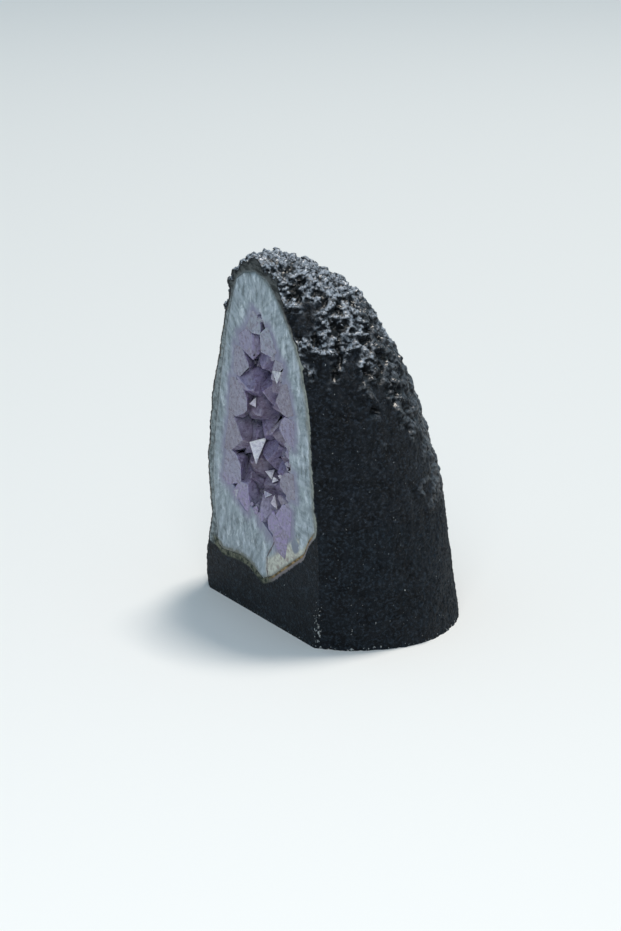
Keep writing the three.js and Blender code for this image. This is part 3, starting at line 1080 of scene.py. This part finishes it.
# %% Model one small point
def small_point():
    """A six-sided column with a six-sided point, standing on the origin, one unit across."""
    deselect_all()
    bpy.ops.mesh.primitive_cylinder_add(vertices=6, radius=0.5, depth=0.7, location=(0, 0, 0.05))
    made = bpy.context.object
    made.name = "small_point"
    apply_place()
    pick_faces(made, lambda face: face.normal.z > 0.9)
    bpy.ops.mesh.extrude_region_move(TRANSFORM_OT_translate={"value": (0.03, 0.02, 0.5)})
    bpy.ops.transform.resize(value=(0.12, 0.05, 1), center_override=(0.05, 0.0, 0.9))
    leave_edit()
    return made


template = small_point()
print(count(template))

# %% Find places for small points in the gaps between the large ones
RAYS = 3600
SPINE_LOW = Vector((6 * MM, 78 * MM))  # the hollow's middle line, as x and z
SPINE_HIGH = Vector((4 * MM, 182 * MM))
CLOSEST = 1.7 * MM  # between two small points

chance = random.Random(11)
found = []
for _ in range(RAYS):
    share = chance.random()
    middle = SPINE_LOW.lerp(SPINE_HIGH, share)
    start = Vector((middle.x, FACE + chance.uniform(-4, 10) * MM, middle.y))
    heading = Vector((chance.gauss(0, 1), abs(chance.gauss(0, 1)) - 0.3, chance.gauss(0, 1)))
    heading.normalize()
    hit, normal, _, distance = lining_tree.ray_cast(start, heading)
    if hit is None or hit.y < FACE + 0.3 * MM or normal.dot(heading) > 0:
        continue
    struck, _, _, sooner = points_tree.ray_cast(start, heading)
    if struck is not None and sooner < distance - 0.5 * MM:
        continue
    if any((hit - other).length < CLOSEST for other, _ in found):
        continue
    found.append((hit, normal))
print(len(found), "places for small points")

# %% Let small points grow there
copies = []
for hit, normal in found:
    across = chance.uniform(2.2, 5.2) * MM
    lean = Vector((chance.gauss(0, 0.25), chance.gauss(0, 0.25), chance.gauss(0, 0.25)))
    turn = (normal + lean).to_track_quat("Z", "Y").to_matrix().to_4x4()
    spin = Matrix.Rotation(chance.uniform(0, math.pi), 4, "Z")
    size = Matrix.Diagonal(
        (across, across * chance.uniform(0.75, 1), across * chance.uniform(0.9, 1.7), 1)
    )
    copies.append(linked("small_point", template.data.copy()))
    copies[-1].data.transform(Matrix.Translation(hit) @ turn @ spin @ size)
bpy.data.objects.remove(template)
druse = join_all(copies, "small_points")
saw_flush(druse, 0.01 * MM)
print(count(druse))

# %% [markdown]
# ### Greyed amethyst
#
# The crystals are cloudy rather than clear, so light scatters inside them: a little subsurface
# light does that, and it keeps the deep ones from going black. They are palest where they leave
# the quartz and frosted where the saw cut them, and each has a slightly different tone. A last
# mask, the glint, is 0 on all of them; it is kept for a few faces that are added below, whose
# colour it turns almost white as a painted glint.

# %% Finish of the amethyst
amethyst, tree, shader, place = new_finish("greyed_amethyst")
ripe, tone, glint = (attribute(tree, name) for name in ("ripeness", "tone", "glint"))
grain = use_group(tree, GRAIN, Place=place, Patch_Scale=150.0, Grain_Scale=520.0, Grain_Share=0.35)
mottled = cloudy(tree, place, 420, detail=5, roughness=0.7)
_, y, z = node(tree, "ShaderNodeSeparateXYZ", Vector=place).outputs
flush = ramp(tree, y, FACE + 0.6 * MM, FACE + 0.2 * MM)
upper = times(tree, flush, ramp(tree, z, 176 * MM, 196 * MM, 0, 0.8))
lower = times(
    tree, flush, ramp(tree, z, 92 * MM, 78 * MM), ramp(tree, mottled, 0.4, 0.58, 0.2, 0.9)
)
colour = layered(
    tree, between(tree, ripe, 0, 8, (156, 157, 177), (144, 137, 163)),
    (ramp(tree, ripe, 8, 16), (128, 116, 136)),
    (flush, (144, 146, 168)),
    (upper, (142, 152, 166)),
    (ramp(tree, tone, 0.1, 1, 0, 0.7), (132, 124, 160)),
    (ramp(tree, tone, -0.1, -1, 0, 0.6), (112, 102, 116)),
    (ramp(tree, grain["Patches"], 0.45, 0.72, 0, 0.5), (156, 152, 174)),
    (ramp(tree, mottled, 0.54, 0.38, 0, 0.7), (94, 80, 100)),
    (lower, (142, 126, 174)),
    (ramp(tree, grain["Grains"], 0.55, 0.68, 0, 0.5), (170, 168, 190)),
)
# Painted glint: the almost white colour given to faces that carry the glint mask.
pale = between(tree, mottled, 0.35, 0.6, (160, 160, 184), (214, 214, 226))
feed(tree, shader["Base Color"], blend(tree, glint, colour, pale))
feed(tree, shader["Roughness"], ramp(tree, grain["Patches"], 0.3, 0.7, 0.12, 0.3))
set_plain(
    shader, IOR=1.54, Subsurface_Weight=0.5,
    Subsurface_Radius=(1.1, 0.9, 1.4), Subsurface_Scale=4 * MM,
)
roughen(tree, shader, maths(tree, "ADD", grain["Height"], mottled), 0.4, 0.5)
print(len(tree.nodes), "nodes in", amethyst.name)

# %% Give the crystals their masks and their finish
for seed, point in enumerate(points + [druse]):
    chance = random.Random(100 + seed)
    roots = [lining_tree.find_nearest(vertex.co)[3] / MM for vertex in point.data.vertices]
    give_mask(point, "ripeness", roots)
    give_mask(point, "tone", [chance.uniform(-1, 1)] * len(roots))
    point.data.attributes.new("glint", "FLOAT", "FACE")
    point.data.materials.clear()
    point.data.materials.append(amethyst)
    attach(point, "root")
for point, name in zip(points, POINT_NODES):
    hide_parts(name)
print("finished", len(points), "large points and", druse.name)

# %% [markdown]
# A few faces in the hollow are turned to the light of the studio, and painted almost white as a
# glint.
# Each belongs to a small three-sided crystal that is all but buried in its neighbours, tip first.
# A cone with three sides makes one, flat side up. It is laid where a line of sight through a
# place on the sawn face meets the crystals. Deeper down, it turns towards the light and stands a
# little clear of its neighbours.

# %% Add the faces that catch the light
CATCHING = (  # across and up on the sawn face, width, height, turn and how pale the painted glint is; mm and degrees
    (0, 117, 10, 17, 0, 1.0), (22, 169, 5.5, 11, 14, 0.9), (-6, 145, 4.4, 5.4, 40, 0.55),
    (13, 102, 7, 6, 20, 0.7), (19, 99, 5, 6, 75, 0.8), (26, 103, 3.6, 7, 150, 0.5),
    (11, 87, 5.5, 4.6, 100, 0.7), (18, 84, 4, 9, 170, 0.3), (-28, 78, 3, 7, 10, 0.6),
)
LIGHT_LINE = Vector((0.70, -0.51, 0.50))  # half way between the camera and the front lamp
VIEW_LINE = towards_camera.normalized()
DEEP = 5 * MM  # from here on behind the sawn face, a face is fully turned and lifted
LIFT = 3.2 * MM  # how far such a face stands clear
PROUD = 0.07 * MM  # how far every face stands in front of what it lies on
SKEW = 0.16  # how far corners wander, so that no two faces are the same triangle
TIP = 12 * MM  # keeps the tip long and buried

crystals_tree = tree_of(*points, druse, lining)


def catching_face(x, z, width, height, turn, glint_paleness):
    """A three-sided crystal with its flat side out and its tip in the other crystals."""
    target = Vector((x * MM, FACE, z * MM))
    hit = crystals_tree.ray_cast(target + 0.2 * VIEW_LINE, -VIEW_LINE)[0]
    share = min(1, (hit.y - FACE) / DEEP)
    facing = Vector((0, -1, 0)).lerp(LIGHT_LINE, share).normalized()
    deselect_all()
    bpy.ops.mesh.primitive_cone_add(
        vertices=3, radius1=0.58, depth=0.7, location=(0, 0, -0.35), rotation=(math.pi, 0, 0)
    )
    made = bpy.context.object
    apply_place()
    for vertex in made.data.vertices:
        vertex.co += Vector((chance.uniform(-SKEW, SKEW), chance.uniform(-SKEW, SKEW), 0))
    place = hit + LIFT * share * VIEW_LINE - Vector((0, PROUD, 0))
    size = Matrix.Diagonal((width * MM / facing.dot(VIEW_LINE), height * MM, TIP, 1))
    spin = Matrix.Rotation(math.radians(turn), 4, "Z")
    aim = facing.to_track_quat("Z", "Y").to_matrix().to_4x4()
    made.data.transform(Matrix.Translation(place) @ aim @ size @ spin)
    pick_all(made)
    bpy.ops.mesh.normals_make_consistent(inside=False)
    leave_edit()
    saw_flush(made, 0.09 * MM)
    give_mask(made, "ripeness", [12] * len(made.data.vertices))
    give_mask(made, "tone", [0] * len(made.data.vertices))
    layer = made.data.attributes.new("glint", "FLOAT", "FACE")
    # Only the face turned to the light carries the painted glint.
    for face in made.data.polygons:
        layer.data[face.index].value = glint_paleness * (face.normal.dot(facing) > 0.9)
    return made


chance = random.Random(31)
bright = join_all([catching_face(*row) for row in CATCHING], "bright_faces")
bright.data.materials.append(amethyst)
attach(bright, "root")
print(count(bright))
